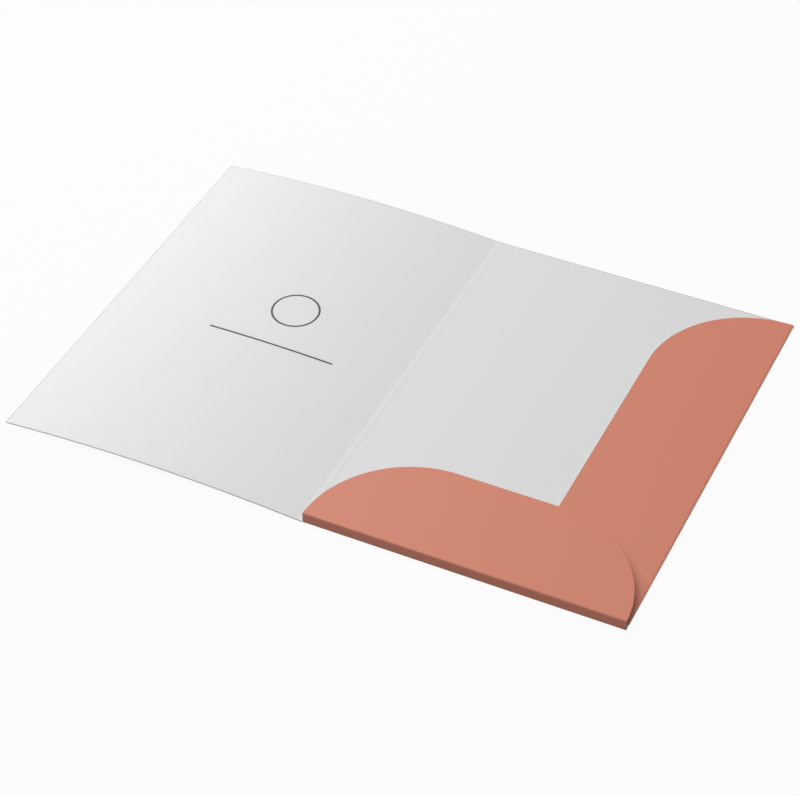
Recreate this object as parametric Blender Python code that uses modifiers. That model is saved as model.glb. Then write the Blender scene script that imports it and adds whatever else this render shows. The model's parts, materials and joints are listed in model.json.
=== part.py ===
"""Presentation folder, lying open: one sheet of creased card with a cover, a narrow spine and a back panel
whose bottom and side flaps fold inwards and make the pocket.

Metres, +Z up. The origin is the middle of the footprint, on the table: x = 0 is the crease between the spine
and the back panel, the cover lies towards -X, and the edge with the bottom flap faces -Y. The parts that lie
between two creases are pieces of their own. Each crease is a thin piece too, round about the line it turns on.
"""

import math

import bmesh
import bpy
from mathutils import Matrix, Vector

# The sheet
CARD = 0.0005
PANEL_WIDTH = 0.220
PANEL_HEIGHT = 0.310
COVER_WIDTH = 0.2156
SPINE_WIDTH = 0.0044
COVER_ARCH = 0.0047

# The bottom flap and the gusset that lifts it off the back panel
POCKET_DEPTH = 0.008
BOTTOM_FLAP_REACH = 0.0733
BOTTOM_FLAP_RADIUS = 0.0745
SPINE_END_SETBACK = 0.0008
SIDE_END_SETBACK = 0.0003

# The side flap, folded flat over the back panel and springing up a little
SIDE_FLAP_REACH = 0.0775
SIDE_FLAP_RADIUS = 0.075
SIDE_FLAP_LIFT = math.radians(0.8)
SIDE_FLAP_FAR_SETBACK = 0.0005
SIDE_FLAP_NEAR_SETBACK = 0.005
MITRE_START = 0.012

# Clearance between neighbouring pieces, and between the two layers of the side fold
GAP = 0.0003

# How finely curves are cut
ARC_STEPS = 20
ARCH_STEPS = 36
BEAD_SIDES = 16
BEND_STEPS = 8

OUTSIDE = (0.606, 0.224, 0.159)
INSIDE = (0.80, 0.80, 0.80)
ROUGHNESS = 0.6

# Places that follow from the sizes above
HALF_HEIGHT = PANEL_HEIGHT / 2
MID_CARD = CARD / 2
CREASE_REACH = MID_CARD + GAP
CORNER_REACH = CARD + GAP
SIDE_FOLD_RADIUS = CARD + GAP / 2
SIDE_FOLD_REACH = SIDE_FOLD_RADIUS + GAP
GUSSET_INNER_Y = -HALF_HEIGHT + CARD
FLAP_UNDERSIDE_Z = POCKET_DEPTH - CARD
POCKET_LEFT = SPINE_END_SETBACK
POCKET_RIGHT = PANEL_WIDTH - SIDE_END_SETBACK
SIDE_FOLD_X = PANEL_WIDTH - SIDE_FOLD_RADIUS
SIDE_NEAR_Y = -HALF_HEIGHT + SIDE_FLAP_NEAR_SETBACK
SIDE_FAR_Y = HALF_HEIGHT - SIDE_FLAP_FAR_SETBACK

folder = bpy.data.collections.new("presentation_folder")


def clear_scene():
    for obj in list(bpy.data.objects):
        bpy.data.objects.remove(obj, do_unlink=True)
    bpy.context.scene.collection.children.link(folder)


def hinge(name, position, parent=None, tilt=0.0):
    """An empty on a crease's axis. position is in the world, and tilt turns it about Y."""
    empty = bpy.data.objects.new(name, None)
    empty.empty_display_size = SPINE_WIDTH
    empty["world_position"] = position
    if parent:
        empty.parent = parent
        empty.location = Vector(position) - Vector(parent["world_position"])
    else:
        empty.location = position
    empty.rotation_euler.y = tilt
    folder.objects.link(empty)
    return empty


def add_piece(name, data, carrier, colour):
    """An object on its carrier's origin, with a card material of its own."""
    piece = bpy.data.objects.new(name, data)
    piece.parent = carrier
    folder.objects.link(piece)
    card = bpy.data.materials.new(name + "_card")
    card.use_nodes = True
    shader = card.node_tree.nodes["Principled BSDF"]
    shader.inputs["Base Color"].default_value = (*colour, 1.0)
    shader.inputs["Roughness"].default_value = ROUGHNESS
    shader.inputs["Metallic"].default_value = 0.0
    card.diffuse_color = (*colour, 1.0)
    data.materials.append(card)
    return piece


def mesh_from(name, bm):
    mesh = bpy.data.meshes.new(name)
    bm.to_mesh(mesh)
    bm.free()
    return mesh


def flat_panel(name, low, high, carrier, colour):
    """A rectangular piece of card between two world corners."""
    origin = Vector(carrier["world_position"])
    size = Vector(high) - Vector(low)
    middle = (Vector(high) + Vector(low)) / 2 - origin
    bm = bmesh.new()
    bmesh.ops.create_cube(bm, size=1.0)
    bmesh.ops.transform(bm, matrix=Matrix.Translation(middle) @ Matrix.Diagonal((*size, 1.0)), verts=bm.verts)
    return add_piece(name, mesh_from(name, bm), carrier, colour)


def crease_bead(name, start, end, radius, carrier, colour):
    """A scored crease as a round bead between two world points."""
    origin = Vector(carrier["world_position"])
    run = Vector(end) - Vector(start)
    turn = run.to_track_quat("Z", "Y").to_matrix().to_4x4()
    middle = (Vector(start) + Vector(end)) / 2 - origin
    bm = bmesh.new()
    bmesh.ops.create_cone(
        bm, cap_ends=True, segments=BEAD_SIDES, radius1=radius, radius2=radius, depth=run.length
    )
    bmesh.ops.transform(bm, matrix=Matrix.Translation(middle) @ turn, verts=bm.verts)
    mesh = mesh_from(name, bm)
    smooth_round(mesh)
    return add_piece(name, mesh, carrier, colour)


def smooth_round(mesh):
    mesh.shade_smooth()
    mesh.set_sharp_from_angle(angle=math.radians(40))


def outline_plate(name, outline, thickness, carrier, colour):
    """A flat plate cut to an outline in its carrier's XY plane, as thick above that plane as below it."""
    curve = bpy.data.curves.new(name, "CURVE")
    curve.dimensions = "2D"
    curve.fill_mode = "BOTH"
    curve.extrude = thickness / 2
    spline = curve.splines.new("POLY")
    spline.points.add(len(outline) - 1)
    for point, (x, y) in zip(spline.points, outline):
        point.co = (x, y, 0.0, 1.0)
    spline.use_cyclic_u = True
    return add_piece(name, curve, carrier, colour)


def rounded_end(reach, radius, start):
    """The end of a flap, as (distance from its crease's outer face, inset from its end), crease first.

    The end is an arc that meets the free edge smoothly. A radius longer than the reach cuts the crease at a
    slant, and a shorter one leaves a straight stretch beside the crease.
    """
    centre = reach - radius
    first = math.asin(min(1.0, max(0.0, (start - centre) / radius)))
    angles = [first + (math.pi / 2 - first) * step / ARC_STEPS for step in range(ARC_STEPS + 1)]
    points = [(centre + radius * math.sin(a), radius * (1 - math.cos(a))) for a in angles]
    if centre > start:
        points.insert(0, (start, 0.0))
    return points


def cover_height(distance):
    """How far the middle of the arched cover stands above its two edges."""
    share = distance / COVER_WIDTH
    return 4 * COVER_ARCH * share * (1 - share)


def make_back_panel(table):
    low = (CREASE_REACH, GUSSET_INNER_Y + CORNER_REACH, 0.0)
    high = (SIDE_FOLD_X - GAP, HALF_HEIGHT, CARD)
    flat_panel("back_panel", low, high, table, INSIDE)


def make_spine(table):
    spine_hinge = hinge("spine_fold", (0.0, 0.0, MID_CARD), table)
    low = (-SPINE_WIDTH + CREASE_REACH, -HALF_HEIGHT, 0.0)
    high = (-CREASE_REACH, HALF_HEIGHT, CARD)
    flat_panel("spine_strip", low, high, spine_hinge, INSIDE)
    near = Vector((0.0, -HALF_HEIGHT, MID_CARD))
    far = Vector((0.0, HALF_HEIGHT, MID_CARD))
    crease_bead("crease_spine_back", near, far, MID_CARD, table, INSIDE)
    across = Vector((-SPINE_WIDTH, 0.0, 0.0))
    crease_bead("crease_cover_spine", near + across, far + across, MID_CARD, spine_hinge, INSIDE)
    return spine_hinge


def make_front_cover(spine_hinge):
    """The cover rests on the table along its two edges and stands up between them."""
    cover_hinge = hinge("cover_fold", (-SPINE_WIDTH, 0.0, MID_CARD), spine_hinge)
    width = COVER_WIDTH - CREASE_REACH
    bm = bmesh.new()
    bmesh.ops.create_grid(bm, x_segments=ARCH_STEPS, y_segments=1, size=0.5)
    for vert in bm.verts:
        distance = CREASE_REACH + width * (0.5 - vert.co.x)
        vert.co = (-distance, vert.co.y * PANEL_HEIGHT, cover_height(distance))
    mesh = mesh_from("front_cover", bm)
    smooth_round(mesh)
    cover = add_piece("front_cover", mesh, cover_hinge, INSIDE)
    thicken = cover.modifiers.new("card", "SOLIDIFY")
    thicken.thickness = CARD
    thicken.offset = 0.0
    thicken.use_even_offset = True


def make_gusset_and_bottom_flap(table):
    """The gusset and its flap turn about the inner corners of their folds, where the card's inner faces meet."""
    foot = hinge("gusset_fold", (0.0, GUSSET_INNER_Y, CARD), table)
    low = (POCKET_LEFT, -HALF_HEIGHT, CARD + CORNER_REACH)
    high = (POCKET_RIGHT, GUSSET_INNER_Y, FLAP_UNDERSIDE_Z - CORNER_REACH)
    flat_panel("bottom_gusset", low, high, foot, OUTSIDE)
    left = Vector((POCKET_LEFT, GUSSET_INNER_Y, CARD))
    right = Vector((POCKET_RIGHT, GUSSET_INNER_Y, CARD))
    crease_bead("crease_back_gusset", left, right, CARD, foot, OUTSIDE)
    top = hinge("bottom_flap_fold", (0.0, GUSSET_INNER_Y, FLAP_UNDERSIDE_Z), foot)
    rise = Vector((0.0, 0.0, FLAP_UNDERSIDE_Z - CARD))
    crease_bead("crease_gusset_flap", left + rise, right + rise, CARD, top, OUTSIDE)
    widest = (POCKET_RIGHT - POCKET_LEFT) / 2
    end = rounded_end(BOTTOM_FLAP_REACH, min(BOTTOM_FLAP_RADIUS, widest), CARD + CORNER_REACH)
    right_side = [(POCKET_RIGHT - inset, distance - CARD) for distance, inset in end]
    left_side = [(POCKET_LEFT + inset, distance - CARD) for distance, inset in reversed(end)]
    flap = outline_plate("bottom_flap", right_side + left_side, CARD, top, OUTSIDE)
    flap.location.z = MID_CARD


def make_side_fold(table):
    """The card bent back on itself along the right edge: half a ring, open towards the spine."""
    outer = SIDE_FOLD_RADIUS
    inner = SIDE_FOLD_RADIUS - CARD
    angles = [math.pi * (step / BEND_STEPS - 0.5) for step in range(BEND_STEPS + 1)]
    outline = [(outer * math.cos(a), outer * math.sin(a)) for a in angles]
    outline += [(inner * math.cos(a), inner * math.sin(a)) for a in reversed(angles)]
    middle = (SIDE_NEAR_Y + SIDE_FAR_Y) / 2
    bend = outline_plate("crease_side_flap", outline, SIDE_FAR_Y - SIDE_NEAR_Y, table, OUTSIDE)
    bend.location = (SIDE_FOLD_X, middle, SIDE_FOLD_RADIUS)
    bend.rotation_euler.x = math.pi / 2


def make_side_flap(table):
    fold = hinge("side_flap_fold", (SIDE_FOLD_X, 0.0, SIDE_FOLD_RADIUS), table, tilt=SIDE_FLAP_LIFT)
    start = SIDE_FOLD_RADIUS + SIDE_FOLD_REACH
    end = rounded_end(SIDE_FLAP_REACH, SIDE_FLAP_RADIUS, start)
    mitre = min(MITRE_START, SIDE_FLAP_REACH)
    outline = [(SIDE_FOLD_RADIUS - distance, SIDE_FAR_Y - inset) for distance, inset in end]
    outline.append((SIDE_FOLD_RADIUS - SIDE_FLAP_REACH, SIDE_NEAR_Y + SIDE_FLAP_REACH - mitre))
    outline.append((SIDE_FOLD_RADIUS - mitre, SIDE_NEAR_Y))
    outline.append((SIDE_FOLD_RADIUS - start, SIDE_NEAR_Y))
    flap = outline_plate("side_flap", outline, CARD, fold, OUTSIDE)
    flap.location.z = SIDE_FOLD_RADIUS - MID_CARD


def make_folder():
    clear_scene()
    table = hinge("folder_origin", (0.0, 0.0, 0.0))
    make_back_panel(table)
    spine_hinge = make_spine(table)
    make_front_cover(spine_hinge)
    make_gusset_and_bottom_flap(table)
    make_side_fold(table)
    make_side_flap(table)


make_folder()
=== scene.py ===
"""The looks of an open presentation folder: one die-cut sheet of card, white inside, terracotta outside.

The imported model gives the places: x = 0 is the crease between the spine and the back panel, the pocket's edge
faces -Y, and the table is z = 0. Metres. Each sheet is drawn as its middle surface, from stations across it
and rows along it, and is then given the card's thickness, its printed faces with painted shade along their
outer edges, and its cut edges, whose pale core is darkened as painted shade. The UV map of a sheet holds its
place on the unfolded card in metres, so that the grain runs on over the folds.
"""

import json
import math

import bmesh
import bpy
from mathutils import Matrix, Vector


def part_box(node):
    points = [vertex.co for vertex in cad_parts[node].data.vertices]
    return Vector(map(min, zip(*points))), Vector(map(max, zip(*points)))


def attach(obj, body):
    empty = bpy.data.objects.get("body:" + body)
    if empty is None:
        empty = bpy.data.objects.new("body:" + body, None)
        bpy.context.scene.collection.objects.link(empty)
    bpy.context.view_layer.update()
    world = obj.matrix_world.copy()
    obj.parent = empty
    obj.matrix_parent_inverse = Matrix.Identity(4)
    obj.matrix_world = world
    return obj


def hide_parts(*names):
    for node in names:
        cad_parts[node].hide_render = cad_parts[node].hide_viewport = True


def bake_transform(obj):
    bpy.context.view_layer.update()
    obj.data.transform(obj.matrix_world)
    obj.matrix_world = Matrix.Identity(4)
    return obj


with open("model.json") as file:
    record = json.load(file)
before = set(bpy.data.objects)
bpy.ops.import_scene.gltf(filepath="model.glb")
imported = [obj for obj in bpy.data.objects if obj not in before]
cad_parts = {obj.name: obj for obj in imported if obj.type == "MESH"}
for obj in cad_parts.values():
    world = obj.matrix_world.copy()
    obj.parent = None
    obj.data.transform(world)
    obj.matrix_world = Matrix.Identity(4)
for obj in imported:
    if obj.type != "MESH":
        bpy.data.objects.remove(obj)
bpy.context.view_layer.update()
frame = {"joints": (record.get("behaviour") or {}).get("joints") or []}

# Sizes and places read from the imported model
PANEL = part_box("back_panel")
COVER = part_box("front_cover")
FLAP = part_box("bottom_flap")
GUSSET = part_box("bottom_gusset")
SIDE_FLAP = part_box("side_flap")
SIDE_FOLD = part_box("crease_side_flap")
JOINT = {joint["name"]: joint for joint in frame["joints"]}

CARD = PANEL[1][2] - PANEL[0][2]
MID_CARD = CARD / 2
NEAR_Y = COVER[0][1]
FAR_Y = COVER[1][1]
COVER_CREASE_X = JOINT["cover_fold"]["pos_m"][0]
BACK_CREASE_X = JOINT["spine_fold"]["pos_m"][0]
MID_SPINE_X = (COVER_CREASE_X + BACK_CREASE_X) / 2
COVER_WIDTH = COVER_CREASE_X - COVER[0][0]
COVER_ARCH = COVER[1][2] - COVER[0][2] - CARD
POCKET_LEFT_X = GUSSET[0][0]
POCKET_RIGHT_X = GUSSET[1][0]
POCKET_TOP_Z = FLAP[1][2]
BOTTOM_FLAP_REACH = FLAP[1][1] - NEAR_Y
SIDE_FOLD_MIDDLE_Z = (SIDE_FOLD[0][2] + SIDE_FOLD[1][2]) / 2
SIDE_FOLD_RADIUS = SIDE_FOLD[1][2] - SIDE_FOLD_MIDDLE_Z
SIDE_FOLD_X = SIDE_FOLD[1][0] - SIDE_FOLD_RADIUS
SIDE_NEAR_Y = SIDE_FOLD[0][1]
SIDE_FAR_Y = SIDE_FOLD[1][1]
SIDE_FLAP_REACH = SIDE_FOLD[1][0] - SIDE_FLAP[0][0]

# Shapes that a box doesn't give
BOTTOM_FLAP_RADIUS = 0.0745
SIDE_FLAP_RADIUS = 0.075
SIDE_FLAP_LIFT = math.radians(0.8)
MITRE_START = 0.012
FOOT_FOLD_RADIUS = 0.0003
HEAD_FOLD_RADIUS = 0.0007
SIDE_FOLD_ROLL = 0.0020
CREASE_HALF_WIDTH = 0.0006
PANEL_SEAM_SETBACK = 0.005
PANEL_SEAM_Y = NEAR_Y + PANEL_SEAM_SETBACK
GUSSET_SEAM_Z = POCKET_TOP_Z / 2
EDGE_BEVEL = 0.00008
EDGE_SEGMENTS = 2
SHARP_ANGLE = math.radians(25)

# How far an extra station or row lies from a cut edge and from a fold
EDGE_GUARD = 0.00025
FOLD_GUARD = 0.0002

# How steeply the card rises towards +X across the spine, from the flat panel leftwards: a ridge stands at the
# back crease, and the card rolls up softly into the cover
SPINE_SLOPES = ((0.0032, 0.0), (0.0009, -0.075), (-0.0004, 0.035), (-0.0018, 0.030), (-0.0044, -0.087))

# How finely the sheets are cut
ARCH_STATIONS = 72
ARC_STATIONS = 40
PANEL_STATIONS = 12
FOLD_STATIONS = 12
ROLL_STATIONS = 24
SPINE_STATIONS = 36
COVER_ROWS = 24
PLAIN_ROWS = 24

# Where the side flap is cut between its fold and its mitre, from the folder's right edge
SIDE_FLAP_STATIONS = (0.0035, 0.006, MITRE_START)

# The card's colours. A face varies a little to either side of its colour, and the core only darkens
WHITE = (0.80, 0.80, 0.80)
TERRACOTTA = (0.680, 0.229, 0.144)
# The cut edges' grey: the card's pale core darkened as painted shade
CORE_AND_EDGE_SHADE = (0.46, 0.45, 0.43)
INK = (0.030, 0.030, 0.033)
BLACK = (0.0, 0.0, 0.0)
FACE_SHARES = (0.90, 1.10)
CLOUD_SHADE = 0.018
FIBRE_SHADE = 0.022
CORE_SHARE = 0.88
# Painted shade along the sheets' outer cut edges: the band's width, its softness and how dark it gets
EDGE_SHADE_WIDTH = 0.0006
EDGE_SHADE_SOFTNESS = EDGE_SHADE_WIDTH * 0.6
EDGE_SHADE_DARKNESS = 0.36

# The card's noises, each with its scale and its detail
CLOUD = (26.0, 4.0)
GLOSS = (310.0, 3.0)
FIBRE = (900.0, 4.0)
TOOTH = (3600.0, 2.0)
CORE_FIBRE = (2400.0, 4.0)
FIBRE_STRETCH = (1.0, 0.35, 1.0)

# The card's gloss, and how deep its grain is
INSIDE_ROUGHNESS = 0.52
OUTSIDE_ROUGHNESS = 0.50
CORE_ROUGHNESS = 0.85
ROUGHNESS_SPREAD = 0.05
INSIDE_GRAIN = 0.000006
OUTSIDE_GRAIN = 0.000007
CORE_GRAIN = 0.00003
FIBRE_HEIGHT = 0.7
TOOTH_HEIGHT = 0.3

# The generic mark printed inside the cover: a ring over a plain rule
RING_PLACE = (-0.0960, 0.0215)
RING_RADIUS = 0.0165
RING_LINE = 0.0015
RULE_PLACE = (-0.0955, -0.0165)
RULE_LENGTH = 0.094
RULE_LINE = 0.0015
INK_SOFTNESS = 0.00008

# The place of a sheet's materials. The inside's comes first
OUTSIDE_SLOT = 1
CORE_SLOT = 2


class Nodes:
    """A material's node tree, with a short way to add a node, set its inputs and link it."""

    def __init__(self, name):
        self.material = bpy.data.materials.new(name)
        self.material.use_nodes = True
        self.tree = self.material.node_tree
        self.shader = self.tree.nodes["Principled BSDF"]

    def add(self, kind, links=None, **settings):
        node = self.tree.nodes.new(kind)
        for key, value in settings.items():
            setattr(node, key, value)
        self.join(node, links or {})
        return node

    def join(self, node, links):
        for key, value in links.items():
            if isinstance(value, bpy.types.NodeSocket):
                self.tree.links.new(value, node.inputs[key])
            else:
                node.inputs[key].default_value = value

    def math(self, operation, a, b=0.0, clamp=False):
        return self.add("ShaderNodeMath", {0: a, 1: b}, operation=operation, use_clamp=clamp).outputs[0]

    def noise(self, where, scale, detail, stretch=None):
        if stretch:
            where = self.add("ShaderNodeVectorMath", {0: where, 1: stretch}, operation="MULTIPLY").outputs[0]
        noise = self.add("ShaderNodeTexNoise", {"Vector": where, "Scale": scale, "Detail": detail})
        return noise.outputs["Fac"]

    def between(self, value, low, high):
        """value from 0..1 to low..high"""
        spread = self.add("ShaderNodeMapRange", {0: value, 1: 0.0, 2: 1.0, 3: low, 4: high}, clamp=True)
        return spread.outputs[0]

    def step(self, value, edge, softness):
        """1 where value is below edge, 0 above it, with a soft change between"""
        soft = self.add(
            "ShaderNodeMapRange",
            {0: value, 1: edge - softness, 2: edge + softness, 3: 1.0, 4: 0.0},
            interpolation_type="SMOOTHSTEP",
        )
        return soft.outputs[0]

    def mix(self, share, first, second):
        """Two colours mixed. The node's colours are its inputs 6 and 7 and its output 2."""
        node = self.add("ShaderNodeMix", data_type="RGBA")
        self.join(node, {0: share})
        for socket, value in ((node.inputs[6], first), (node.inputs[7], second)):
            if isinstance(value, bpy.types.NodeSocket):
                self.tree.links.new(value, socket)
            else:
                socket.default_value = (*value, 1.0)
        return node.outputs[2]


def painted_edge_shade(nodes, x, y):
    """The narrow band along the sheet's outer edges that is darkened as painted shade, 0 to 1."""
    from_ends = nodes.math("SUBTRACT", FAR_Y, nodes.math("ABSOLUTE", y))
    from_free_edge = nodes.math("SUBTRACT", x, COVER_CREASE_X - COVER_WIDTH)
    nearest = nodes.math("MINIMUM", from_ends, from_free_edge)
    return nodes.step(nearest, EDGE_SHADE_WIDTH, EDGE_SHADE_SOFTNESS)


def printed_mark(nodes, where, x, y):
    """Where the ink of the ring and the rule lies, 0 to 1."""
    centre = (*RING_PLACE, 0.0)
    distance = nodes.add("ShaderNodeVectorMath", {0: where, 1: centre}, operation="DISTANCE").outputs["Value"]
    from_ring = nodes.math("ABSOLUTE", nodes.math("SUBTRACT", distance, RING_RADIUS))
    ring = nodes.step(from_ring, RING_LINE / 2, INK_SOFTNESS)
    from_middle_x = nodes.math("ABSOLUTE", nodes.math("SUBTRACT", x, RULE_PLACE[0]))
    from_middle_y = nodes.math("ABSOLUTE", nodes.math("SUBTRACT", y, RULE_PLACE[1]))
    along = nodes.step(from_middle_x, RULE_LENGTH / 2, INK_SOFTNESS)
    across = nodes.step(from_middle_y, RULE_LINE / 2, INK_SOFTNESS)
    return nodes.math("MAXIMUM", ring, nodes.math("MULTIPLY", along, across))


def card_face(name, colour, roughness, grain, marked=False, edge_shaded=False):
    """A coated face: faint cloudiness, the fibres under the coating, an uneven gloss, and where asked painted
    shade along the outer edges.
    """
    nodes = Nodes(name)
    where = nodes.add("ShaderNodeUVMap", uv_map="card").outputs[0]
    place = nodes.add("ShaderNodeSeparateXYZ", {0: where}).outputs
    cloud = nodes.noise(where, *CLOUD)
    fibre = nodes.noise(where, *FIBRE, stretch=FIBRE_STRETCH)
    tooth = nodes.noise(where, *TOOTH)
    cloud_shade = nodes.between(cloud, -CLOUD_SHADE, CLOUD_SHADE)
    shade = nodes.math("ADD", cloud_shade, nodes.between(fibre, -FIBRE_SHADE, FIBRE_SHADE))
    darker, lighter = (tuple(channel * share for channel in colour) for share in FACE_SHARES)
    base = nodes.mix(nodes.math("ADD", shade, 0.5, clamp=True), darker, lighter)
    fibre_height = nodes.math("MULTIPLY", fibre, FIBRE_HEIGHT)
    height = nodes.math("ADD", fibre_height, nodes.math("MULTIPLY", tooth, TOOTH_HEIGHT))
    uneven = nodes.noise(where, *GLOSS)
    gloss = nodes.between(uneven, roughness - ROUGHNESS_SPREAD, roughness + ROUGHNESS_SPREAD)
    # Painted shade: the face is darkened towards black in a band along its outer edges
    if edge_shaded:
        rim = nodes.math("MULTIPLY", painted_edge_shade(nodes, place["X"], place["Y"]), EDGE_SHADE_DARKNESS)
        base = nodes.mix(rim, base, BLACK)
    if marked:
        ink = printed_mark(nodes, where, place["X"], place["Y"])
        base = nodes.mix(ink, base, INK)
    bump = nodes.add("ShaderNodeBump", {"Height": height, "Strength": 1.0, "Distance": grain})
    nodes.join(nodes.shader, {"Base Color": base, "Roughness": gloss, "Normal": bump.outputs[0]})
    return nodes.material


def cut_edge(name):
    """The uncoated core that shows along a die-cut edge, with its fine fibres, its pale grey darkened as
    painted shade.
    """
    nodes = Nodes(name)
    where = nodes.add("ShaderNodeUVMap", uv_map="card").outputs[0]
    fibre = nodes.noise(where, *CORE_FIBRE)
    darker = tuple(channel * CORE_SHARE for channel in CORE_AND_EDGE_SHADE)
    base = nodes.mix(fibre, darker, CORE_AND_EDGE_SHADE)
    bump = nodes.add("ShaderNodeBump", {"Height": fibre, "Strength": 1.0, "Distance": CORE_GRAIN})
    nodes.join(nodes.shader, {"Base Color": base, "Roughness": CORE_ROUGHNESS, "Normal": bump.outputs[0]})
    return nodes.material


inside_marked = card_face(
    "inside_marked_card", WHITE, INSIDE_ROUGHNESS, INSIDE_GRAIN, marked=True, edge_shaded=True
)
inside_plain = card_face("inside_plain_card", WHITE, INSIDE_ROUGHNESS, INSIDE_GRAIN, edge_shaded=True)
outside_face = card_face("outside_card", TERRACOTTA, OUTSIDE_ROUGHNESS, OUTSIDE_GRAIN)
shaded_core_face = cut_edge("card_core_painted_shade")


def spread(low, high, steps):
    """Even steps from low to high, with both ends."""
    return [low + (high - low) * step / steps for step in range(steps + 1)]


def guarded(values, first, last):
    """Adds a line close inside a cut edge, which keeps the edge's rounding off the face beside it."""
    backwards = values[-1] < values[0]
    guard = -EDGE_GUARD if backwards else EDGE_GUARD
    guards = [values[0] + guard] * first + [values[-1] - guard] * last
    return sorted([*values, *guards], reverse=backwards)


def card_sheet(name, stations, rows, edges, place, unfolded, inside, cut):
    """A sheet of card from its middle surface.

    stations are distances across the sheet. edges(s) gives the low and high ends of the sheet at station s,
    and rows cuts the length between them. place(s, t) gives a point in space, and unfolded(s, t) its place
    on the flat card. Stations and rows run so that the face normals look out of the card's inside. The two
    ends of the rows are die-cut edges. cut names the ends of the stations that are cut too: first, last or
    neither. The others lie against the next sheet and stay sharp, so that no line shows there.
    """
    bm = bmesh.new()
    card = bm.loops.layers.uv.new("card")
    eased = bm.edges.layers.float.new("bevel_weight_edge")
    stations = guarded(stations, cut == "first", cut == "last")
    grid = []
    for s in stations:
        low, high = edges(s)
        line = []
        for t in guarded(spread(low, high, rows), True, True):
            line.append((bm.verts.new(place(s, t)), unfolded(s, t)))
        grid.append(line)
    for left, right in zip(grid, grid[1:]):
        for row in range(len(left) - 1):
            corners = (left[row], right[row], right[row + 1], left[row + 1])
            face = bm.faces.new([vert for vert, _ in corners])
            for loop, (_, flat) in zip(face.loops, corners):
                loop[card].uv = flat
    borders = [[line[0][0] for line in grid], [line[-1][0] for line in grid]]
    if cut == "first":
        borders.append([vert for vert, _ in grid[0]])
    if cut == "last":
        borders.append([vert for vert, _ in grid[-1]])
    for border in borders:
        for one, two in zip(border, border[1:]):
            bm.edges.get((one, two))[eased] = 1.0
    mesh = bpy.data.meshes.new(name)
    bm.to_mesh(mesh)
    bm.free()
    for material in (inside, outside_face, shaded_core_face):
        mesh.materials.append(material)
    sheet = bpy.data.objects.new(name, mesh)
    bpy.context.scene.collection.objects.link(sheet)
    thicken = sheet.modifiers.new("card", "SOLIDIFY")
    thicken.thickness = CARD
    thicken.offset = 0.0
    thicken.use_even_offset = True
    thicken.material_offset = OUTSIDE_SLOT
    thicken.material_offset_rim = CORE_SLOT
    ease = sheet.modifiers.new("edge", "BEVEL")
    ease.width = EDGE_BEVEL
    ease.segments = EDGE_SEGMENTS
    ease.limit_method = "WEIGHT"
    ease.material = CORE_SLOT
    finish_mesh(sheet)
    return sheet


def finish_mesh(sheet):
    """Makes the modifiers' result the sheet's own mesh."""
    graph = bpy.context.evaluated_depsgraph_get()
    mesh = bpy.data.meshes.new_from_object(sheet.evaluated_get(graph), depsgraph=graph)
    sheet.modifiers.clear()
    rough = sheet.data
    sheet.data = mesh
    bpy.data.meshes.remove(rough)
    mesh.name = sheet.name
    mesh.shade_smooth()
    mesh.set_sharp_from_angle(angle=SHARP_ANGLE)


def fold_stations(start, end):
    """Stations over a fold, with one more outside each end, which keeps its shading off the panels."""
    return [start - FOLD_GUARD, *spread(start, end, FOLD_STATIONS), end + FOLD_GUARD]


def rounded_inset(distance, reach, radius):
    """How far the end of a flap is drawn in at a distance from its fold's outer face."""
    height = distance - (reach - radius)
    return radius - math.sqrt(max(0.0, radius**2 - max(0.0, height) ** 2))


def arc_distances(start, reach, radius):
    """Distances from a flap's fold to its free edge, close together where the end turns steeply."""
    centre = reach - radius
    first = math.asin(min(1.0, max(0.0, (start - centre) / radius)))
    return [centre + radius * math.sin(angle) for angle in spread(first, math.pi / 2, ARC_STATIONS)]


def spine_rise(x):
    """How far the card stands off the table beside the spine's creases: the slopes added up leftwards."""
    rise = 0.0
    for (right, right_slope), (left, left_slope) in zip(SPINE_SLOPES, SPINE_SLOPES[1:]):
        if x >= right:
            break
        reached = max(x, left)
        slope_there = right_slope + (left_slope - right_slope) * (right - reached) / (right - left)
        rise -= (right - reached) * (right_slope + slope_there) / 2
    return rise


def card_height(x):
    """The middle of the card over the table. The cover is a parabola between its low long edges."""
    share = min(1.0, max(0.0, (COVER_CREASE_X - x) / COVER_WIDTH))
    return MID_CARD + spine_rise(x) * (1 - share) + 4 * COVER_ARCH * share * (1 - share)


def make_cover():
    """The cover and the half of the spine beside it."""
    stations = spread(COVER_CREASE_X - COVER_WIDTH, COVER_CREASE_X - 2 * CREASE_HALF_WIDTH, ARCH_STATIONS)
    stations += spread(COVER_CREASE_X - CREASE_HALF_WIDTH, MID_SPINE_X, SPINE_STATIONS)
    sheet = card_sheet(
        "cover_sheet",
        stations,
        COVER_ROWS,
        lambda x: (NEAR_Y, FAR_Y),
        lambda x, y: (x, y, card_height(x)),
        lambda x, y: (x, y),
        inside_marked,
        cut="first",
    )
    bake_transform(sheet)
    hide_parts("front_cover", "crease_cover_spine")


def make_spine_side():
    """The other half of the spine, and the back panel as far as the pocket."""
    sheet = card_sheet(
        "spine_sheet",
        spread(MID_SPINE_X, POCKET_LEFT_X, SPINE_STATIONS),
        PLAIN_ROWS,
        lambda x: (NEAR_Y, FAR_Y),
        lambda x, y: (x, y, card_height(x)),
        lambda x, y: (x, y),
        inside_plain,
        cut="neither",
    )
    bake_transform(sheet)
    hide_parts("spine_strip", "crease_spine_back")


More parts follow.
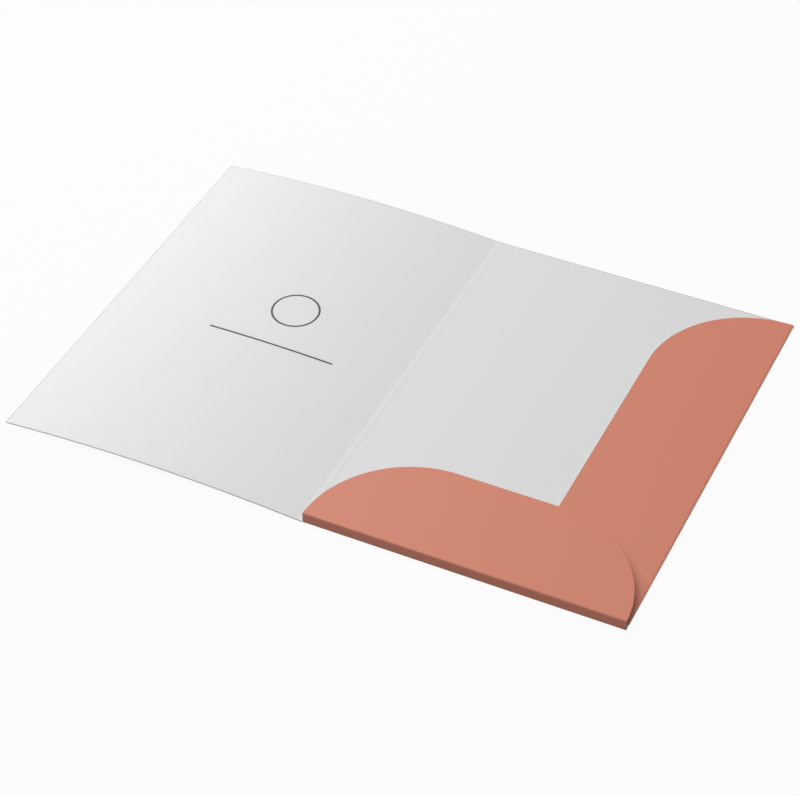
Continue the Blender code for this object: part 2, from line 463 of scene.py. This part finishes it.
def make_back():
    """The back panel between the spine, the pocket's fold and the side fold."""
    flat_from = SPINE_SLOPES[0][0]
    stations = spread(POCKET_LEFT_X, flat_from, FOLD_STATIONS)[:-1]
    stations += spread(flat_from, SIDE_FOLD_X, PANEL_STATIONS)
    sheet = card_sheet(
        "back_sheet",
        stations,
        PLAIN_ROWS,
        lambda x: (PANEL_SEAM_Y, FAR_Y),
        lambda x, y: (x, y, card_height(x)),
        lambda x, y: (x, y),
        inside_plain,
        cut="neither",
    )
    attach(sheet, "folder_back")
    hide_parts("back_panel")


def folded(distance, start, radius, angle):
    """Along and up from a flat run that folds up at start, through angle, and runs on straight."""
    past = distance - start
    if past <= 0:
        return distance, 0.0
    turned = min(past / radius, angle)
    beyond = max(0.0, past - radius * angle)
    along = start + radius * math.sin(turned) + beyond * math.cos(angle)
    up = radius * (1 - math.cos(turned)) + beyond * math.sin(angle)
    return along, up


def make_pocket_foot():
    """The edge of the back panel, its fold, and the lower half of the gusset."""
    fold_y = NEAR_Y + MID_CARD + FOOT_FOLD_RADIUS
    fold_start = PANEL_SEAM_Y - fold_y
    fold_end = fold_start + FOOT_FOLD_RADIUS * math.pi / 2
    last = fold_end + GUSSET_SEAM_Z - MID_CARD - FOOT_FOLD_RADIUS
    stations = [0.0, *fold_stations(fold_start, fold_end), last]

    def place(s, x):
        along, up = folded(s, fold_start, FOOT_FOLD_RADIUS, math.pi / 2)
        return x, PANEL_SEAM_Y - along, MID_CARD + up

    sheet = card_sheet(
        "pocket_foot_sheet",
        stations,
        PLAIN_ROWS,
        lambda s: (POCKET_LEFT_X, POCKET_RIGHT_X),
        place,
        lambda s, x: (x, PANEL_SEAM_Y - s),
        inside_plain,
        cut="neither",
    )
    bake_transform(sheet)
    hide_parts("crease_back_gusset", "bottom_gusset")


def make_pocket_flap():
    """The upper half of the gusset, its fold, and the bottom flap with its two round ends."""
    top = POCKET_TOP_Z - MID_CARD
    fold_start = top - HEAD_FOLD_RADIUS - GUSSET_SEAM_Z
    fold_end = fold_start + HEAD_FOLD_RADIUS * math.pi / 2
    card_before = PANEL_SEAM_Y - NEAR_Y + GUSSET_SEAM_Z
    flap_starts = MID_CARD + HEAD_FOLD_RADIUS

    def from_outer_face(s):
        return max(0.0, s - fold_end + flap_starts)

    def edges(s):
        inset = 0.0
        if s > fold_end:
            inset = rounded_inset(from_outer_face(s), BOTTOM_FLAP_REACH, BOTTOM_FLAP_RADIUS)
        return POCKET_LEFT_X + inset, POCKET_RIGHT_X - inset

    def place(s, x):
        up, along = folded(s, fold_start, HEAD_FOLD_RADIUS, math.pi / 2)
        return x, NEAR_Y + MID_CARD + along, GUSSET_SEAM_Z + up

    stations = [0.0, *fold_stations(fold_start, fold_end)]
    for distance in arc_distances(2 * flap_starts, BOTTOM_FLAP_REACH, BOTTOM_FLAP_RADIUS):
        stations.append(distance - flap_starts + fold_end)
    sheet = card_sheet(
        "pocket_flap_sheet",
        stations,
        PLAIN_ROWS,
        edges,
        place,
        lambda s, x: (x, PANEL_SEAM_Y - card_before - s),
        inside_plain,
        cut="last",
    )
    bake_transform(sheet)
    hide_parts("crease_gusset_flap", "bottom_flap")


def side_fold_path():
    """The side fold's middle line, from the panel round and back over it: distances and (x, z) places."""
    tight = SIDE_FOLD_RADIUS - MID_CARD
    path = []
    for angle in spread(0.0, math.pi / 2, FOLD_STATIONS):
        path.append((SIDE_FOLD_X + tight * math.sin(angle), MID_CARD + tight * (1 - math.cos(angle))))
    for angle in spread(0.0, math.pi / 2, ROLL_STATIONS)[1:]:
        x = SIDE_FOLD_X + tight - SIDE_FOLD_ROLL * (1 - math.cos(angle))
        path.append((x, MID_CARD + tight * (1 + math.sin(angle))))
    along = [0.0]
    for one, two in zip(path, path[1:]):
        along.append(along[-1] + math.dist(one, two))
    return along, path


def make_side_flap():
    """The side fold, where the card turns back, and the side flap with its round and mitred ends."""
    along, path = side_fold_path()
    edge_x = SIDE_FOLD_X + SIDE_FOLD_RADIUS
    roll_end_x, roll_end_z = path[-1]

    def from_edge(s):
        return edge_x - roll_end_x + (s - along[-1]) * math.cos(SIDE_FLAP_LIFT)

    def edges(s):
        if s <= along[-1]:
            return SIDE_NEAR_Y, SIDE_FAR_Y
        distance = from_edge(s)
        cut = max(0.0, distance - MITRE_START)
        inset = rounded_inset(distance, SIDE_FLAP_REACH, SIDE_FLAP_RADIUS)
        return SIDE_NEAR_Y + cut, SIDE_FAR_Y - inset

    def place(s, y):
        if s <= along[-1]:
            nearest = min(range(len(along)), key=lambda index: abs(along[index] - s))
            x, z = path[nearest]
            return x, y, z
        return edge_x - from_edge(s), y, roll_end_z + (s - along[-1]) * math.sin(SIDE_FLAP_LIFT)

    def run_to(distance):
        return along[-1] + (distance - (edge_x - roll_end_x)) / math.cos(SIDE_FLAP_LIFT)

    stations = list(along)
    for distance in SIDE_FLAP_STATIONS:
        stations.append(run_to(distance))
    for distance in arc_distances(MITRE_START, SIDE_FLAP_REACH, SIDE_FLAP_RADIUS)[1:]:
        stations.append(run_to(distance))
    sheet = card_sheet(
        "side_flap_sheet",
        stations,
        PLAIN_ROWS,
        edges,
        place,
        lambda s, y: (SIDE_FOLD_X + s, y),
        inside_plain,
        cut="last",
    )
    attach(sheet, "folder_back")
    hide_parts("crease_side_flap", "side_flap")


# The camera, fitted to the folder's straight edges in the photograph
CAMERA_PLACE = (0.5376, -1.0872, 1.0763)
CAMERA_RIGHT = (0.90332, 0.42884, -0.01032)
CAMERA_UP = (-0.28236, 0.61254, 0.73829)
PHOTO_WIDTH = 800.0
PHOTO_HEIGHT = 796.0
FOCAL_PIXELS = 2408.5
CENTRE_PIXEL = (420.1, 408.0)
SENSOR = 36.0
CLIP = (0.05, 30.0)


def make_camera():
    """The camera that the photo was taken with, as a lens with a small shift."""
    lens = bpy.data.cameras.new("photo_camera")
    lens.sensor_fit = "HORIZONTAL"
    lens.sensor_width = SENSOR
    lens.lens = FOCAL_PIXELS / PHOTO_WIDTH * SENSOR
    lens.shift_x = (PHOTO_WIDTH / 2 - CENTRE_PIXEL[0]) / PHOTO_WIDTH
    lens.shift_y = (CENTRE_PIXEL[1] - PHOTO_HEIGHT / 2) / PHOTO_WIDTH
    lens.clip_start, lens.clip_end = CLIP
    camera = bpy.data.objects.new("photo_camera", lens)
    right = Vector(CAMERA_RIGHT).normalized()
    back = right.cross(Vector(CAMERA_UP)).normalized()
    up = back.cross(right)
    turn = Matrix((right, up, back)).transposed().to_4x4()
    camera.matrix_world = Matrix.Translation(CAMERA_PLACE) @ turn
    bpy.context.scene.collection.objects.link(camera)
    bpy.context.scene.camera = camera


# Soft light, mostly from above and from the left: where each lamp stands (degrees round from +X, degrees up,
# metres away), its width and height, and its strength in watts
LAMPS = {
    "top_lamp": ((0, 90, 2.4), (2.5, 2.5), 25.3),
    "left_lamp": ((180, 60, 2.3), (3.0, 1.6), 23.2),
    "back_left_lamp": ((145, 22, 2.3), (1.4, 0.8), 26.0),
    "front_right_lamp": ((315, 30, 2.3), (3.0, 1.3), 3.0),
}

# The room's even light, the background's white, and the table top's colour, width, drop and share of shadow
ROOM = 0.02
BACKGROUND = 1.0
FLOOR_COLOUR = (0.62, 0.62, 0.62)
FLOOR_SIZE = 8.0
FLOOR_DROP = 0.00005
FLOOR_SHADOW_SHARE = 0.06


def add_lamp(name, stand, size, watts):
    """A rectangular lamp that faces the middle of the folder."""
    around, up, away = math.radians(stand[0]), math.radians(stand[1]), stand[2]
    place = Vector((math.cos(up) * math.cos(around), math.cos(up) * math.sin(around), math.sin(up))) * away
    lamp = bpy.data.lights.new(name, "AREA")
    lamp.shape = "RECTANGLE"
    lamp.size, lamp.size_y = size
    lamp.energy = watts
    holder = bpy.data.objects.new(name, lamp)
    holder.location = place
    holder.rotation_euler = (-place).to_track_quat("-Z", "Y").to_euler()
    bpy.context.scene.collection.objects.link(holder)


def seen_as_white(tree):
    """1 for the rays that show the background: from the camera, in reflections and through clear things."""
    paths = tree.nodes.new("ShaderNodeLightPath")
    total = paths.outputs["Is Camera Ray"]
    for kind in ("Is Glossy Ray", "Is Transmission Ray"):
        either = tree.nodes.new("ShaderNodeMath")
        either.operation = "MAXIMUM"
        tree.links.new(total, either.inputs[0])
        tree.links.new(paths.outputs[kind], either.inputs[1])
        total = either.outputs[0]
    return total


def make_room():
    """An even grey room for the light, seen as the background's white."""
    world = bpy.data.worlds.new("room")
    bpy.context.scene.world = world
    world.use_nodes = True
    tree = world.node_tree
    tree.nodes.clear()
    seen = seen_as_white(tree)
    light = tree.nodes.new("ShaderNodeBackground")
    light.inputs["Strength"].default_value = ROOM
    white = tree.nodes.new("ShaderNodeBackground")
    white.inputs["Color"].default_value = (BACKGROUND, BACKGROUND, BACKGROUND, 1.0)
    choose = tree.nodes.new("ShaderNodeMixShader")
    output = tree.nodes.new("ShaderNodeOutputWorld")
    tree.links.new(seen, choose.inputs[0])
    tree.links.new(light.outputs[0], choose.inputs[1])
    tree.links.new(white.outputs[0], choose.inputs[2])
    tree.links.new(choose.outputs[0], output.inputs[0])


def make_floor():
    """A pale table top, seen as the background's white with a share of its own light for the shadow."""
    bm = bmesh.new()
    bmesh.ops.create_grid(bm, x_segments=1, y_segments=1, size=FLOOR_SIZE / 2)
    mesh = bpy.data.meshes.new("floor")
    bm.to_mesh(mesh)
    bm.free()
    nodes = Nodes("floor")
    nodes.tree.nodes.remove(nodes.shader)
    share = nodes.math("MULTIPLY", seen_as_white(nodes.tree), 1.0 - FLOOR_SHADOW_SHARE)
    plain = nodes.add("ShaderNodeBsdfDiffuse", {"Color": (*FLOOR_COLOUR, 1.0)})
    white = nodes.add("ShaderNodeEmission", {"Color": (1.0, 1.0, 1.0, 1.0), "Strength": BACKGROUND})
    both = nodes.add("ShaderNodeMixShader", {0: share, 1: plain.outputs[0], 2: white.outputs[0]})
    nodes.join(nodes.tree.nodes["Material Output"], {"Surface": both.outputs[0]})
    mesh.materials.append(nodes.material)
    floor = bpy.data.objects.new("floor", mesh)
    floor.location.z = -FLOOR_DROP
    bpy.context.scene.collection.objects.link(floor)


make_cover()
make_spine_side()
make_back()
make_pocket_foot()
make_pocket_flap()
make_side_flap()
make_camera()
for lamp_name, (stand, size, watts) in LAMPS.items():
    add_lamp(lamp_name, stand, size, watts)
make_room()
make_floor()
bpy.context.scene.view_settings.view_transform = "Standard"
